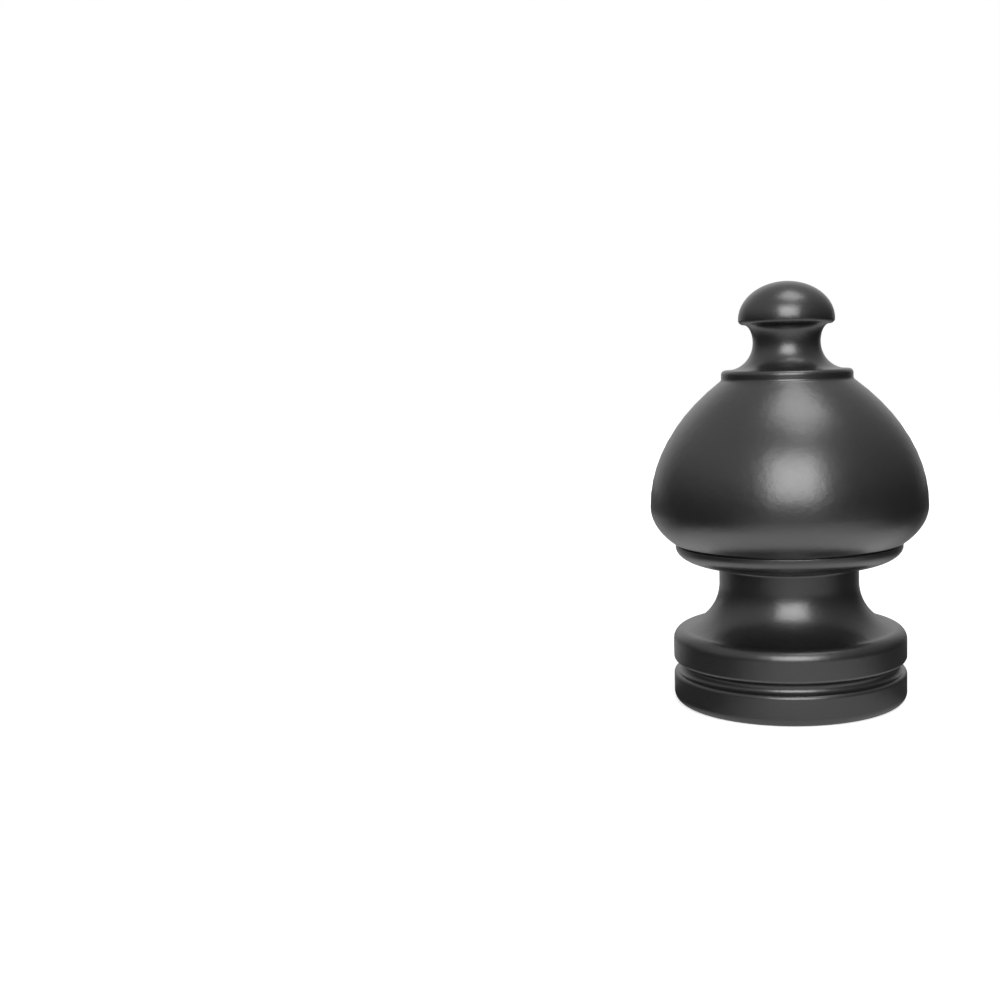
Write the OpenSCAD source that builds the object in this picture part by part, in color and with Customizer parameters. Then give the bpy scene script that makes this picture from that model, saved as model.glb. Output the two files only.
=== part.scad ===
// Curtain pole finial: one turned piece of coated metal that caps the end of a round pole.
// The pole goes into the socket in the collar, and a grub screw behind clamps it there.
// The origin is the centre of the collar's open face, and +Z runs along the axis to the cap.
// Every size is in millimetres.

/* [Pole socket] */
// Outer diameter of the pole that the finial caps
pole_d = 35; // [28:0.5:38]
// Gap between the pole and the socket's wall, on the radius
pole_gap = 0.2; // [0.1:0.05:0.5]
// Depth of the socket from the collar's open face
socket_depth = 10; // [7:0.5:11]
// Width of the bevel at the socket's mouth
mouth_bevel = 0.6; // [0.2:0.1:1]

/* [Collar] */
// Thickness of the collar's wall around the socket
collar_wall = 3.3; // [2.8:0.1:5]
// Height of the lower band, from the open face to the groove
lower_band_h = 5.5; // [4.4:0.1:7]
// Width of the groove between the two bands
groove_w = 1.9; // [1.5:0.1:4]
// Depth of the groove below the bands
groove_depth = 1.4; // [1.2:0.1:2]
// Height of the upper band, from the groove to the shoulder
upper_band_h = 5.8; // [4:0.1:7]
// Radius of the rounded edge at the collar's open face
face_round = 1.6; // [0.4:0.1:1.8]
// Radius of the rounded edges beside the groove
band_round = 0.7; // [0.3:0.1:1]
// Radius of the rounded edge where the upper band meets the shoulder
shoulder_round = 2.1; // [0.4:0.1:2.5]

/* [Neck] */
// Diameter of the neck above the shoulder
neck_d = 25.1; // [20:0.1:28]
// Height of the hollow curve from the collar up to the neck
shoulder_h = 8.2; // [6:0.1:14]
// Turn that the hollow curve lacks at its outer end, in degrees, so that the shoulder slopes there
shoulder_slope = 15; // [0:1:20]
// Height of the straight neck above that curve
neck_h = 2.5; // [0.5:0.1:8]

/* [Foot] */
// Radius of the hollow between the neck and the foot
foot_cove = 0.9; // [0.4:0.1:1.5]
// Diameter of the foot under the bulb
foot_d = 40.7; // [36:0.1:44]
// Height of the foot's rounded underside
foot_round_h = 3.2; // [1:0.1:4]
// Height of the foot's straight wall
foot_wall_h = 0.5; // [0.4:0.1:3]
// Radius of the foot's rounded upper edge
foot_edge_round = 0.2; // [0.1:0.1:0.3]
// Depth of the fine groove between the foot and the bulb
quirk_depth = 0.6; // [0.4:0.1:1.2]
// Height of that groove
quirk_h = 0.4; // [0.3:0.1:1]

/* [Bulb] */
// Diameter of the bulb's lower edge, above the fine groove
bulb_foot_d = 41.6; // [38:0.1:46]
// Diameter of the bulb at its widest
bulb_d = 49.5; // [47:0.1:60]
// Height from the bulb's lower edge to its widest
bulb_lower_h = 6.4; // [4:0.1:12]
// Height from the bulb's widest to the flange
bulb_upper_h = 22.2; // [16:0.1:30]
// Reach of the lower curve's ellipse towards the axis
lower_reach = 20; // [8:0.5:24]
// Reach of the upper curve's ellipse towards the axis
upper_reach = 60; // [30:0.5:80]

/* [Upper neck] */
// Diameter of the flange on top of the bulb
flange_d = 23.4; // [20:0.1:26]
// Height of the flange
flange_h = 2.0; // [1.7:0.1:3]
// Radius of the hollow between the bulb and the flange's side
flange_fillet = 0.7; // [0.3:0.1:0.8]
// Radius of the flange's rounded upper edge
flange_round = 0.8; // [0.2:0.1:0.8]
// Width of the flange's flat top outside the upper neck's curve
flange_ledge = 0.3; // [0.1:0.1:2]
// Diameter of the upper neck at its narrowest
upper_neck_d = 12.0; // [9:0.1:12.8]
// Height of the hollow curve from the flange up to the narrowest place
lower_cove_h = 4.8; // [3:0.1:8]
// Height of the hollow curve from there up to the cap
upper_cove_h = 3.1; // [2:0.1:6]

/* [Cap] */
// Diameter of the cap at its widest
cap_d = 17.1; // [15.5:0.1:22]
// Width of the rounded edge under the widest place, which ends where the upper neck begins
cap_round = 1.0; // [0.4:0.1:1.2]
// Height of that rounded edge
cap_round_h = 0.9; // [0.4:0.1:1.5]
// Height of the cap's dome above the widest place
dome_h = 6.7; // [4:0.1:8]

/* [Grub screw] */
// Outer diameter of the grub screw's thread
screw_d = 3; // [2.5:0.1:3.4]
// Gap between the screw and its hole, on the radius
screw_gap = 0.05; // [0.02:0.01:0.1]
// How far the screw's outer end lies below the collar's face
screw_sink = 0.3; // [0.1:0.1:0.8]
// How far the screw's tip stops short of the socket's wall
tip_gap = 0.1; // [0.05:0.05:0.5]
// Width across the flats of the screw's hexagon socket
hex_af = 1.5; // [1.2:0.1:1.6]
// Depth of that socket
hex_depth = 1.2; // [0.8:0.1:1.5]
// Width of the bevels at the screw's ends
screw_bevel = 0.3; // [0.1:0.1:0.5]
// Width of the bevel at the mouth of the screw's hole
hole_bevel = 0.3; // [0.1:0.1:0.5]

/* [Hidden] */
$fn = 96;
// Turn in degrees between two points of a curve, and the gap under which two points are one
curve_step = 4;
same_point = 0.001;
// How far a cut reaches past the face that it opens
cut_past = 1;

socket_r = pole_d / 2 + pole_gap;
collar_r = socket_r + collar_wall;
neck_r = neck_d / 2;
foot_r = foot_d / 2;
bulb_foot_r = bulb_foot_d / 2;
bulb_r = bulb_d / 2;
flange_r = flange_d / 2;
upper_neck_r = upper_neck_d / 2;
cap_r = cap_d / 2;
screw_r = screw_d / 2;

// Heights above the collar's open face, in the order in which the form rises
groove_z = lower_band_h;
upper_band_z = groove_z + groove_w;
shoulder_z = upper_band_z + upper_band_h;
neck_z = shoulder_z + shoulder_h;
foot_cove_z = neck_z + neck_h;
foot_z = foot_cove_z + foot_cove;
foot_wall_z = foot_z + foot_round_h;
quirk_z = foot_wall_z + foot_wall_h;
bulb_foot_z = quirk_z + quirk_h;
bulb_widest_z = bulb_foot_z + bulb_lower_h;
flange_z = bulb_widest_z + bulb_upper_h;
flange_top_z = flange_z + flange_h;
upper_neck_z = flange_top_z + lower_cove_h;
cap_z = upper_neck_z + upper_cove_h;
cap_widest_z = cap_z + cap_round_h;

// Points of an ellipse's arc round (cr, cz), from angle a0 to angle a1
function arc(cr, cz, ra, rz, a0, a1) =
    let (n = ceil(abs(a1 - a0) / curve_step))
    [for (i = [0:n]) let (a = a0 + (a1 - a0) * i / n) [cr + ra * cos(a), cz + rz * sin(a)]];

// The same points without those that repeat the one before
function single(points) =
    [for (i = [0:len(points) - 1])
        if (i == 0 || norm(points[i] - points[i - 1]) > same_point) points[i]];

// A hollow between two heights on one radius, as a circle's arc that goes in by a depth
function hollow(r, z0, z1, depth) =
    let (
        half = (z1 - z0) / 2,
        radius = (half * half + depth * depth) / (2 * depth),
        turn = asin(half / radius)
    )
    arc(r - depth + radius, z0 + half, radius, radius, 180 + turn, 180 - turn);

// Angle at which an ellipse of a given reach has come in from the widest radius to an end radius
function swell_turn(widest, end, reach) = acos((end - widest + reach) / reach);

// How far the bulb's surface leans in from the upright where it meets the flange, in degrees
bulb_turn = swell_turn(bulb_r, flange_r, upper_reach);
bulb_lean = atan2(upper_reach * sin(bulb_turn), bulb_upper_h / tan(bulb_turn));
bulb_top_r = flange_r + flange_fillet * (1 - cos(bulb_lean));

// The collar's two bands with the groove between them, from the open face to the shoulder
function collar_line() = concat(
    arc(collar_r - face_round, face_round, face_round, face_round, -90, 0),
    arc(collar_r - band_round, groove_z - band_round, band_round, band_round, 0, 90),
    hollow(collar_r - band_round, groove_z, upper_band_z, groove_depth - band_round),
    arc(collar_r - band_round, upper_band_z + band_round, band_round, band_round, -90, 0),
    arc(collar_r - shoulder_round, shoulder_z - shoulder_round, shoulder_round, shoulder_round, 0, 90)
);

// The hollow curve from the collar in to the neck
function shoulder_line() =
    let (
        reach = (collar_r - shoulder_round - neck_r) / (1 - sin(shoulder_slope)),
        rise = shoulder_h / cos(shoulder_slope)
    )
    arc(neck_r + reach, neck_z, reach, rise, 270 - shoulder_slope, 180);

// The hollow above the neck, the foot's rounded underside and wall, and the fine groove above it
function foot_line() = concat(
    arc(neck_r + foot_cove, foot_cove_z, foot_cove, foot_cove, 180, 90),
    arc(neck_r + foot_cove, foot_wall_z, foot_r - neck_r - foot_cove, foot_round_h, -90, 0),
    arc(foot_r - foot_edge_round, quirk_z - foot_edge_round, foot_edge_round, foot_edge_round, 0, 90),
    [
        [foot_r - quirk_depth, quirk_z],
        [foot_r - quirk_depth, bulb_foot_z]
    ]
);

// The bulb: a short curve out to its widest, and a long one in to the flange
function bulb_line() =
    let (
        lower_turn = swell_turn(bulb_r, bulb_foot_r, lower_reach),
        upper_turn = swell_turn(bulb_r, bulb_top_r, upper_reach),
        lower_rz = bulb_lower_h / sin(lower_turn),
        upper_rz = bulb_upper_h / sin(upper_turn)
    )
    concat(
        arc(bulb_r - lower_reach, bulb_widest_z, lower_reach, lower_rz, -lower_turn, 0),
        arc(bulb_r - upper_reach, bulb_widest_z, upper_reach, upper_rz, 0, upper_turn)
    );

// The flange, from the hollow at the foot of its side to its rounded upper edge
function flange_line() =
    let (hollow_z = flange_z + flange_fillet * sin(bulb_lean))
    concat(
        arc(flange_r + flange_fillet, hollow_z, flange_fillet, flange_fillet, 180 + bulb_lean, 180),
        arc(flange_r - flange_round, flange_top_z - flange_round, flange_round, flange_round, 0, 90)
    );

// The upper neck, waisted between the flange and the cap
function upper_neck_line() =
    let (
        low_r = flange_r - flange_round - flange_ledge,
        high_r = cap_r - cap_round
    )
    concat(
        arc(low_r, upper_neck_z, low_r - upper_neck_r, lower_cove_h, 270, 180),
        arc(high_r, upper_neck_z, high_r - upper_neck_r, upper_cove_h, 180, 90)
    );

// The cap: a rounded edge out to its widest place, and a dome that is half an ellipse
function cap_line() = concat(
    arc(cap_r - cap_round, cap_widest_z, cap_round, cap_round_h, -90, 0),
    arc(0, cap_widest_z, cap_r, dome_h, 0, 90)
);

// The whole outline, closed along the axis
function finial_outline() = single(concat(
    [[0, 0]],
    collar_line(),
    shoulder_line(),
    foot_line(),
    bulb_line(),
    flange_line(),
    upper_neck_line(),
    cap_line()
));

module turned_form() {
    rotate_extrude() polygon(finial_outline());
}

// The blind hole for the pole, with a bevelled mouth
module pole_socket() {
    translate([0, 0, -cut_past])
        cylinder(h = socket_depth + cut_past, r = socket_r);
    translate([0, 0, -cut_past])
        cylinder(h = mouth_bevel + cut_past, r1 = socket_r + mouth_bevel + cut_past, r2 = socket_r);
}

// Puts what runs along +Z onto the screw's line, which leaves the lower band behind
module along_screw(distance) {
    translate([0, distance, lower_band_h / 2]) rotate([-90, 0, 0]) children();
}

// The hole for the grub screw, from the socket out through the lower band
module screw_hole() {
    hole_r = screw_r + screw_gap;
    along_screw(socket_r - cut_past)
        cylinder(h = collar_wall + 2 * cut_past, r = hole_r);
    along_screw(collar_r - hole_bevel)
        cylinder(h = hole_bevel + cut_past, r1 = hole_r, r2 = hole_r + hole_bevel + cut_past);
}

module finial_body() {
    color([0.16, 0.16, 0.17]) difference() {
        turned_form();
        pole_socket();
        screw_hole();
    }
}

// A headless screw with a hexagon socket outside and a cupped tip inside
module grub_screw() {
    length = collar_wall - screw_sink - tip_gap;
    tip_r = screw_r - screw_bevel;
    cup_r = tip_r / 2;
    color([0.10, 0.10, 0.11]) along_screw(socket_r + tip_gap) difference() {
        rotate_extrude() polygon([
            [0, 0],
            [tip_r, 0],
            [screw_r, screw_bevel],
            [screw_r, length - screw_bevel],
            [tip_r, length],
            [0, length]
        ]);
        translate([0, 0, length - hex_depth])
            cylinder(h = hex_depth + cut_past, r = hex_af / 2 / cos(30), $fn = 6);
        translate([0, 0, -cut_past])
            cylinder(h = cup_r + cut_past, r1 = cup_r + cut_past, r2 = 0);
    }
}

finial_body();
grub_screw();
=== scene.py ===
"""The looks of the curtain pole finial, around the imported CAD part.

Lengths are in metres, in the part's own frame: the origin is the centre of the collar's
open face, +Z runs along the axis to the cap, and the grub screw lies at +Y.
"""

import math

import bmesh
import bpy
from mathutils import Matrix, Vector


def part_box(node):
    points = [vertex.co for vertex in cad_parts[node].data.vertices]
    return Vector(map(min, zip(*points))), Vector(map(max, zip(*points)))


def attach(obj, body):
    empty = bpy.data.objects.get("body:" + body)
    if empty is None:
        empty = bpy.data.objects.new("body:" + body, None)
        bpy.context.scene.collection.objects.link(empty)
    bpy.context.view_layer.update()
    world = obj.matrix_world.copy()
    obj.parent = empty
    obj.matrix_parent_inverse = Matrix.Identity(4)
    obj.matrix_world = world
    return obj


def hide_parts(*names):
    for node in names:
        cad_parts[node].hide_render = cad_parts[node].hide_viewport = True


MM = 0.001
BLACK = (0, 0, 0)
WHITE = (1, 1, 1)

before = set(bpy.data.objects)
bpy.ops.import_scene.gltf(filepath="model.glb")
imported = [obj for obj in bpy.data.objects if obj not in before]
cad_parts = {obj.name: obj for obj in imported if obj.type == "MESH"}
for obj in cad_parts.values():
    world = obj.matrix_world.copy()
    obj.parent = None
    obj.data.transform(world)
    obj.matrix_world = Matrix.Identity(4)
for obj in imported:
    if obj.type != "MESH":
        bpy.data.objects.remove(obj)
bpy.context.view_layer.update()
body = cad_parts["finial_body"]
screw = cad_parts["grub_screw"]

# Camera: where the photograph was taken from, and how its frame lay round the finial
CAMERA_DISTANCE = 240 * MM
CAMERA_ELEVATION = math.radians(6.75)
AIM_HEIGHT = 36 * MM
FRAME_PIXELS = 1000
FOCAL_PIXELS = 1323.6
SENSOR_WIDTH_MM = 36
CAMERA_YAW = math.radians(7.37)
CAMERA_PITCH = math.radians(6.61)
CAMERA_ROLL = math.radians(-1.4)
SHIFT_PIXELS = -118
CLIP_START = 10 * MM
CLIP_END = 20


def make_camera():
    """The photograph's camera: a little above the finial, which stands right of the frame's centre."""
    data = bpy.data.cameras.new("camera")
    data.sensor_width = SENSOR_WIDTH_MM
    data.lens = SENSOR_WIDTH_MM * FOCAL_PIXELS / FRAME_PIXELS
    data.shift_x = SHIFT_PIXELS / FRAME_PIXELS
    data.clip_start = CLIP_START
    data.clip_end = CLIP_END
    camera = bpy.data.objects.new("camera", data)
    back = CAMERA_DISTANCE * math.cos(CAMERA_ELEVATION)
    rise = CAMERA_DISTANCE * math.sin(CAMERA_ELEVATION)
    turn = Matrix.Rotation(CAMERA_YAW, 4, "Z")
    tilt = Matrix.Rotation(math.pi / 2 - CAMERA_PITCH, 4, "X")
    roll = Matrix.Rotation(CAMERA_ROLL, 4, "Z")
    camera.matrix_world = Matrix.Translation((0, -back, AIM_HEIGHT + rise)) @ turn @ tilt @ roll
    bpy.context.scene.collection.objects.link(camera)
    bpy.context.scene.camera = camera


# What the materials and the world are put together from

def new_material(name):
    """A material with nodes, its node tree and its main shader."""
    material = bpy.data.materials.new(name)
    material.use_nodes = True
    tree = material.node_tree
    return material, tree, tree.nodes["Principled BSDF"]


def noise(tree, cell):
    """A noise texture in the part's own frame, with cells of about the given size."""
    place = tree.nodes.new("ShaderNodeTexCoord")
    texture = tree.nodes.new("ShaderNodeTexNoise")
    texture.inputs["Scale"].default_value = 1 / cell
    tree.links.new(place.outputs["Object"], texture.inputs["Vector"])
    return texture.outputs["Fac"]


def ranged(tree, value, low, high):
    """The value, which runs from 0 to 1, spread over another range."""
    node = tree.nodes.new("ShaderNodeMapRange")
    node.inputs["To Min"].default_value = low
    node.inputs["To Max"].default_value = high
    tree.links.new(value, node.inputs["Value"])
    return node.outputs["Result"]


def faded(tree, value, fade):
    """A value that goes softly from low to high while another goes from first to last."""
    first, last, low, high = fade
    node = tree.nodes.new("ShaderNodeMapRange")
    node.interpolation_type = "SMOOTHSTEP"
    node.inputs["From Min"].default_value = first
    node.inputs["From Max"].default_value = last
    node.inputs["To Min"].default_value = low
    node.inputs["To Max"].default_value = high
    tree.links.new(value, node.inputs["Value"])
    return node.outputs["Result"]


def combined(tree, operation, first, second):
    """Two values put together by a sum, a product or the larger of the two."""
    node = tree.nodes.new("ShaderNodeMath")
    node.operation = operation
    tree.links.new(first, node.inputs[0])
    tree.links.new(second, node.inputs[1])
    return node.outputs[0]


def vector_node(tree, operation, vector):
    """A node that works on a vector."""
    node = tree.nodes.new("ShaderNodeVectorMath")
    node.operation = operation
    tree.links.new(vector, node.inputs[0])
    return node


def share_along(tree, vector, direction):
    """How much of a vector points in a fixed direction."""
    node = vector_node(tree, "DOT_PRODUCT", vector)
    node.inputs[1].default_value = direction
    return node.outputs["Value"]


def chosen(tree, switch, off, on):
    """A plain number where the switch is 0, and another value where it is 1."""
    node = tree.nodes.new("ShaderNodeMix")
    node.data_type = "FLOAT"
    node.inputs["A"].default_value = off
    tree.links.new(switch, node.inputs["Factor"])
    tree.links.new(on, node.inputs["B"])
    return node.outputs["Result"]


def mixed_colour(tree, value, first, second):
    """A colour that runs from the first to the second with the value."""
    node = tree.nodes.new("ShaderNodeMix")
    node.data_type = "RGBA"
    node.inputs["A"].default_value = (*first, 1)
    node.inputs["B"].default_value = (*second, 1)
    tree.links.new(value, node.inputs["Factor"])
    return node.outputs["Result"]


# Powder coat
COAT_IOR = 1.8
COAT_DARK = (0.008, 0.008, 0.0082)
COAT_LIGHT = (0.011, 0.011, 0.0113)
COAT_TINT_CELL = 9 * MM
COAT_SMOOTH = 0.29
COAT_ROUGH = 0.34
COAT_GLOSS_CELL = 2.5 * MM
GRAIN_CELL = 0.35 * MM
GRAIN_HEIGHT = 0.008 * MM
PEEL_CELL = 1.7 * MM
PEEL_HEIGHT = 0.035 * MM


def coat_material():
    """Satin black powder coat: dark and even, with a soft gloss, a fine grain and slight orange peel."""
    material, tree, shader = new_material("satin_black_coat")
    shader.inputs["IOR"].default_value = COAT_IOR
    colour = mixed_colour(tree, noise(tree, COAT_TINT_CELL), COAT_DARK, COAT_LIGHT)
    tree.links.new(colour, shader.inputs["Base Color"])
    rough = ranged(tree, noise(tree, COAT_GLOSS_CELL), COAT_SMOOTH, COAT_ROUGH)
    tree.links.new(rough, shader.inputs["Roughness"])

    # The relief's height is in metres, so the bump node neither scales nor weakens it
    bump = tree.nodes.new("ShaderNodeBump")
    bump.inputs["Strength"].default_value = 1.0
    bump.inputs["Distance"].default_value = 1.0
    grain = ranged(tree, noise(tree, GRAIN_CELL), 0, GRAIN_HEIGHT)
    peel = ranged(tree, noise(tree, PEEL_CELL), 0, PEEL_HEIGHT)
    tree.links.new(combined(tree, "ADD", grain, peel), bump.inputs["Height"])
    tree.links.new(bump.outputs["Normal"], shader.inputs["Normal"])
    return material


# Black oxide
STEEL_DARK = (0.045, 0.045, 0.047)
STEEL_LIGHT = (0.06, 0.06, 0.062)
STEEL_TINT_CELL = 0.6 * MM
STEEL_SMOOTH = 0.3
STEEL_ROUGH = 0.45
STEEL_GLOSS_CELL = 0.3 * MM


def steel_material():
    """Black oxide on steel."""
    material, tree, shader = new_material("black_oxide_steel")
    shader.inputs["Metallic"].default_value = 1.0
    colour = mixed_colour(tree, noise(tree, STEEL_TINT_CELL), STEEL_DARK, STEEL_LIGHT)
    tree.links.new(colour, shader.inputs["Base Color"])
    rough = ranged(tree, noise(tree, STEEL_GLOSS_CELL), STEEL_SMOOTH, STEEL_ROUGH)
    tree.links.new(rough, shader.inputs["Roughness"])
    return material


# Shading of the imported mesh
JOIN_DISTANCE = 0.002 * MM
SHARP_ANGLE = math.radians(28)


def smoothing_group():
    """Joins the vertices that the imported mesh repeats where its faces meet, and shades it smooth.

    Edges sharper than SHARP_ANGLE stay sharp.
    """
    tree = bpy.data.node_groups.new("joined_and_smooth", "GeometryNodeTree")
    tree.interface.new_socket("Geometry", in_out="INPUT", socket_type="NodeSocketGeometry")
    tree.interface.new_socket("Geometry", in_out="OUTPUT", socket_type="NodeSocketGeometry")
    start = tree.nodes.new("NodeGroupInput")
    end = tree.nodes.new("NodeGroupOutput")
    join = tree.nodes.new("GeometryNodeMergeByDistance")
    join.inputs["Distance"].default_value = JOIN_DISTANCE
    smooth_faces = tree.nodes.new("GeometryNodeSetShadeSmooth")
    smooth_faces.domain = "FACE"
    angle = tree.nodes.new("GeometryNodeInputMeshEdgeAngle")
    below = tree.nodes.new("FunctionNodeCompare")
    below.data_type = "FLOAT"
    below.operation = "LESS_EQUAL"
    below.inputs["B"].default_value = SHARP_ANGLE
    smooth_edges = tree.nodes.new("GeometryNodeSetShadeSmooth")
    smooth_edges.domain = "EDGE"
    tree.links.new(start.outputs[0], join.inputs["Geometry"])
    tree.links.new(join.outputs["Geometry"], smooth_faces.inputs["Geometry"])
    tree.links.new(smooth_faces.outputs["Geometry"], smooth_edges.inputs["Geometry"])
    tree.links.new(angle.outputs["Unsigned Angle"], below.inputs["A"])
    tree.links.new(below.outputs["Result"], smooth_edges.inputs["Shade Smooth"])
    tree.links.new(smooth_edges.outputs["Geometry"], end.inputs[0])
    return tree


def smooth_cad(node):
    """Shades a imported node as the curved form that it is."""
    if "custom_normal" in node.data.attributes:
        node.data.attributes.remove(node.data.attributes["custom_normal"])
    modifier = node.modifiers.new("smooth", "NODES")
    modifier.node_group = smoothing_group()


def finish_node(node, material):
    """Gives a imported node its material."""
    node.data.materials.clear()
    node.data.materials.append(material)


# Grub screw, with the thread, the bevelled hexagon mouth and the drill's point that its solid lacks
SCREW_MAJOR_R = 1.5 * MM
SCREW_PITCH = 0.5 * MM
THREAD_DEPTH = 0.307 * MM
SCREW_BEVEL = 0.3 * MM
HEX_HALF_FLATS = 0.75 * MM
HEX_DEPTH = 1.2 * MM
HEX_MOUTH_R = 0.93 * MM
HEX_MOUTH_DEPTH = 0.1 * MM
DRILL_POINT = 0.25 * MM
CUP_R = 0.8 * MM
CUP_DEPTH = 0.5 * MM
SCREW_SEGMENTS = 72
ROWS_PER_TURN = 14
CREST_SHARE = 1 / 8
ROOT_SHARE = 1 / 4
SCREW_SHARP_ANGLE = math.radians(35)


def thread_height(turn):
    """Height of the thread above its root, from 0 to 1, at a part of one pitch."""
    from_crest = abs(turn % 1 - 0.5)
    flank = (1 - CREST_SHARE - ROOT_SHARE) / 2
    return min(1, max(0, 1 - (from_crest - CREST_SHARE / 2) / flank))


def hexagon_radius(angle):
    """Distance from the screw's axis to the wall of its hexagon socket."""
    side = math.radians(60)
    return HEX_HALF_FLATS / math.cos(angle % side - side / 2)


def screw_rings(length):
    """Rings of radius and distance along the screw, from the cup in its tip to the socket's floor."""
    angles = [2 * math.pi * i / SCREW_SEGMENTS for i in range(SCREW_SEGMENTS)]
    root_r = SCREW_MAJOR_R - THREAD_DEPTH
    rings = [[(CUP_R, 0)] * SCREW_SEGMENTS]
    rows = round(length / SCREW_PITCH * ROWS_PER_TURN)
    for row in range(rows + 1):
        along = length * row / rows
        bevelled = SCREW_MAJOR_R - SCREW_BEVEL + min(along, length - along)
        heights = [thread_height(along / SCREW_PITCH - a / (2 * math.pi)) for a in angles]
        rings.append([(min(bevelled, root_r + THREAD_DEPTH * h), along) for h in heights])
    rings.append([(HEX_MOUTH_R, length)] * SCREW_SEGMENTS)
    walls = [hexagon_radius(a) for a in angles]
    rings.append([(r, length - HEX_MOUTH_DEPTH) for r in walls])
    rings.append([(r, length - HEX_DEPTH) for r in walls])
    return angles, rings


def screw_mesh(tip, length, height):
    """The screw's closed surface. Its angles turn clockwise seen along +Y, for a right-handed thread."""
    angles, rings = screw_rings(length)
    mesh = bmesh.new()

    def at(radius, along, angle):
        x = radius * math.cos(angle)
        z = radius * math.sin(angle)
        return mesh.verts.new((x, tip + along, height - z))

    loops = [[at(r, y, a) for (r, y), a in zip(ring, angles)] for ring in rings]
    for first, second in zip(loops, loops[1:]):
        for i in range(SCREW_SEGMENTS):
            j = (i + 1) % SCREW_SEGMENTS
            mesh.faces.new((first[i], first[j], second[j], second[i]))
    cup = at(0, CUP_DEPTH, 0)
    floor = at(0, length - HEX_DEPTH - DRILL_POINT, 0)
    for i in range(SCREW_SEGMENTS):
        j = (i + 1) % SCREW_SEGMENTS
        mesh.faces.new((loops[0][j], loops[0][i], cup))
        mesh.faces.new((loops[-1][i], loops[-1][j], floor))
    bmesh.ops.recalc_face_normals(mesh, faces=mesh.faces)
    for face in mesh.faces:
        face.smooth = True
    for edge in mesh.edges:
        edge.smooth = edge.calc_face_angle(0) < SCREW_SHARP_ANGLE
    return mesh


def make_screw(material):
    """The grub screw, in the place of its plain solid."""
    low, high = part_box("grub_screw")
    mesh = screw_mesh(low[1], high[1] - low[1], (low[2] + high[2]) / 2)
    data = bpy.data.meshes.new("threaded_grub_screw")
    mesh.to_mesh(data)
    mesh.free()
    piece = bpy.data.objects.new("threaded_grub_screw", data)
    bpy.context.scene.collection.objects.link(piece)
    data.materials.append(material)
    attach(piece, "root")
    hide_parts("grub_screw")


# Floor. A fade, here and in the world, is first, last, low and high, as the function faded takes them
FLOOR_HALF = 0.8
FLOOR_COLOUR = (0.8, 0.8, 0.8)
# The FRONT, BACK, REACH, STEEP and GLOW fades paint the floor's brightness in the coat's mirror: painted
# reflection, with painted shade near the finial
FLOOR_FRONT = (0.3, -0.95, 0)
FRONT_FADE = (0.3, 1, 0.1, 0.95)
BACK_FADE = (-0.2, -1, 0, 0.8)
REACH_FADE = (120 * MM, 320 * MM, 1.0, 0.3)
STEEP_FADE = (0.22, 0.7, 1.0, 0)
GLOW_FADE = (20 * MM, 27 * MM, 0.15, 0.5)
VIEW_FADE = (150 * MM, 400 * MM, 0.65, 1.0)


def floor_material():
    """A white floor. In the coat's mirror its brightness is a painted reflection, as of a lit table that
    grows dim towards the studio's sides.
    """
    material, tree, shader = new_material("floor_white")
    shader.inputs["Roughness"].default_value = 1.0
    shader.inputs["Specular IOR Level"].default_value = 0.0
    shader.inputs["Emission Color"].default_value = (*WHITE, 1)
    place = tree.nodes.new("ShaderNodeTexCoord").outputs["Object"]
    reach = vector_node(tree, "LENGTH", place).outputs["Value"]
    direction = vector_node(tree, "NORMALIZE", place).outputs["Vector"]
    frontward = share_along(tree, direction, FLOOR_FRONT)
    facing = tree.nodes.new("ShaderNodeLayerWeight").outputs["Facing"]
    steep = faded(tree, facing, STEEP_FADE)
    seen = tree.nodes.new("ShaderNodeLightPath")
    glossy_ray = seen.outputs["Is Glossy Ray"]

    # Colour: even for the camera, but in the coat's mirror a painted reflection: bright in front, at the
    # back and where it is seen steeply, dim towards the sides and far away
    in_front = faded(tree, frontward, FRONT_FADE)
    at_back = faded(tree, frontward, BACK_FADE)
    near = faded(tree, reach, REACH_FADE)
    around = combined(tree, "MULTIPLY", near, combined(tree, "MAXIMUM", in_front, at_back))
    painted_reflection_level = chosen(tree, glossy_ray, 1.0, combined(tree, "MAXIMUM", around, steep))
    tree.links.new(mixed_colour(tree, painted_reflection_level, BLACK, FLOOR_COLOUR), shader.inputs["Base Color"])

    # Glow: a little in the coat's mirror as painted reflection, more in the camera's view, and in both
    # less near the finial, which in the mirror is painted shade
    painted_glow_dim_near_finial = faded(tree, reach, GLOW_FADE)
    painted_reflection_glow = combined(tree, "MULTIPLY", glossy_ray, combined(tree, "MULTIPLY", steep, painted_glow_dim_near_finial))
    in_view = combined(tree, "MULTIPLY", seen.outputs["Is Camera Ray"], faded(tree, reach, VIEW_FADE))
    tree.links.new(combined(tree, "ADD", painted_reflection_glow, in_view), shader.inputs["Emission Strength"])
    return material


def make_floor():
    """The floor that the finial stands on. It belongs to the studio, not to the part."""
    mesh = bpy.data.meshes.new("floor")
    half = FLOOR_HALF
    corners = [(-half, -half, 0), (half, -half, 0), (half, half, 0), (-half, half, 0)]
    mesh.from_pydata(corners, [], [(0, 1, 2, 3)])
    mesh.materials.append(floor_material())
    floor = bpy.data.objects.new("floor", mesh)
    bpy.context.scene.collection.objects.link(floor)


# Lamps
LAMP_DISTANCE = 0.9


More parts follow.
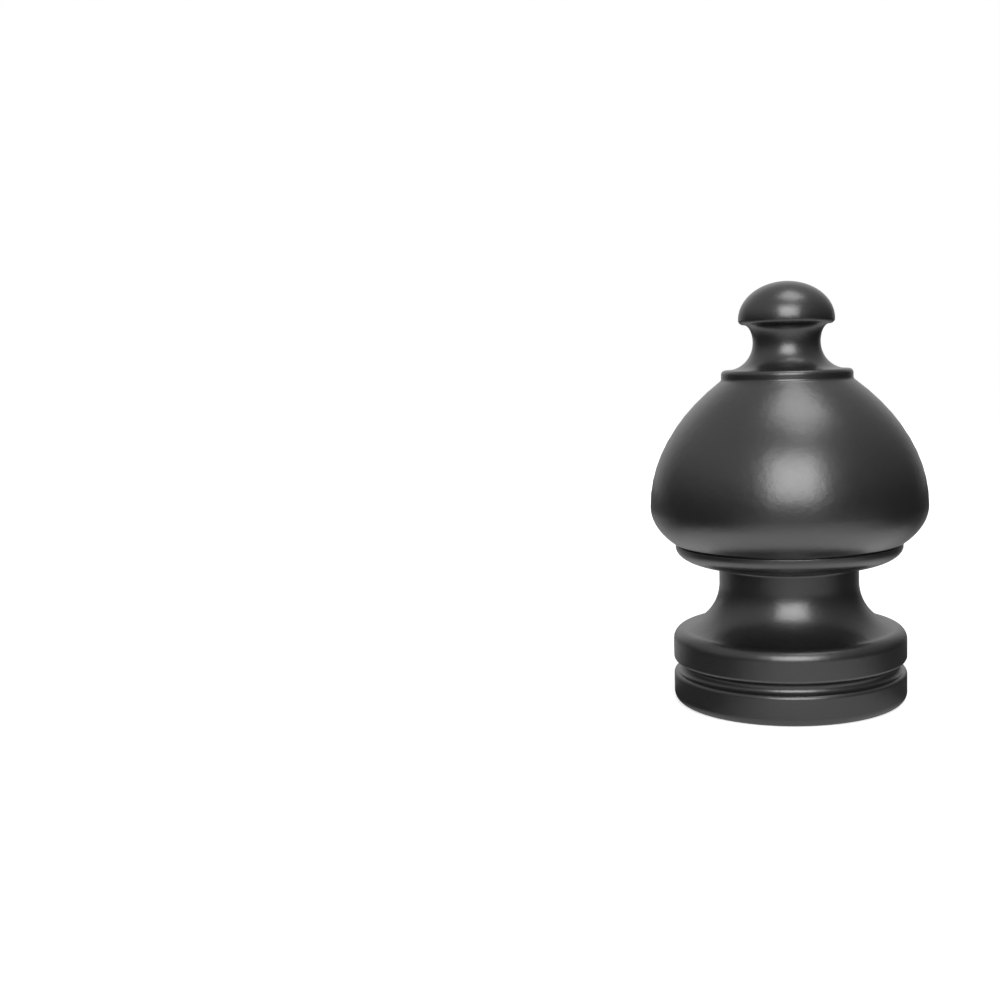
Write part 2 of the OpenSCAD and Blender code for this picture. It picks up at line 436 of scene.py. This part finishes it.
def make_lamp(name, azimuth, elevation, width, height, radiance):
    """A rectangular softbox that faces the finial. Azimuth 0 is towards the camera and 90 to the right."""
    data = bpy.data.lights.new(name, "AREA")
    data.shape = "RECTANGLE"
    data.size = width
    data.size_y = height
    data.energy = radiance * math.pi * width * height
    lamp = bpy.data.objects.new(name, data)
    a = math.radians(azimuth)
    e = math.radians(elevation)
    out = Vector((math.sin(a) * math.cos(e), -math.cos(a) * math.cos(e), math.sin(e)))
    lamp.location = Vector((0, 0, AIM_HEIGHT)) + out * LAMP_DISTANCE
    lamp.rotation_euler = out.to_track_quat("Z", "Y").to_euler()
    bpy.context.scene.collection.objects.link(lamp)


# World: its light on the finial, and its brightness in the coat's mirror by height, side and back
WORLD_LIGHT = 0.3
HEIGHT_FADE = (-0.05, 0.6, 0.05, 0.5)
RIGHT_FADE = (0.35, 0.9, 1.0, 0.5)
BACKDROP_DIRECTION = (-0.15, 0.99, 0)
BACKDROP_FADE = (0.55, 1, 0, 0.6)


def make_world():
    """A plain dim studio: white where the camera looks, and mirrored as dark at the sides' horizon."""
    world = bpy.data.worlds.new("studio")
    bpy.context.scene.world = world
    world.use_nodes = True
    tree = world.node_tree
    background = tree.nodes["Background"]
    background.inputs["Color"].default_value = (*WHITE, 1)
    seen = tree.nodes.new("ShaderNodeLightPath")
    outward = tree.nodes.new("ShaderNodeTexCoord").outputs["Generated"]
    split = tree.nodes.new("ShaderNodeSeparateXYZ")
    tree.links.new(outward, split.inputs[0])
    above = faded(tree, split.outputs["Z"], HEIGHT_FADE)
    to_right = faded(tree, split.outputs["X"], RIGHT_FADE)
    behind = faded(tree, share_along(tree, outward, BACKDROP_DIRECTION), BACKDROP_FADE)
    mirrored = combined(tree, "ADD", combined(tree, "MULTIPLY", above, to_right), behind)
    glossy = chosen(tree, seen.outputs["Is Glossy Ray"], WORLD_LIGHT, mirrored)
    direct = combined(tree, "MAXIMUM", seen.outputs["Is Camera Ray"], seen.outputs["Is Transmission Ray"])
    tree.links.new(combined(tree, "MAXIMUM", direct, glossy), background.inputs["Strength"])


# The finial in its studio
smooth_cad(body)
finish_node(body, coat_material())
steel = steel_material()
make_screw(steel)
finish_node(screw, steel)
make_camera()
make_floor()
make_world()
make_lamp("key_softbox", azimuth=6, elevation=30.5, width=0.64, height=0.6, radiance=5.4)
make_lamp("top_softbox", azimuth=55, elevation=81, width=0.48, height=0.48, radiance=3.6)
bpy.context.scene.view_settings.view_transform = "Standard"
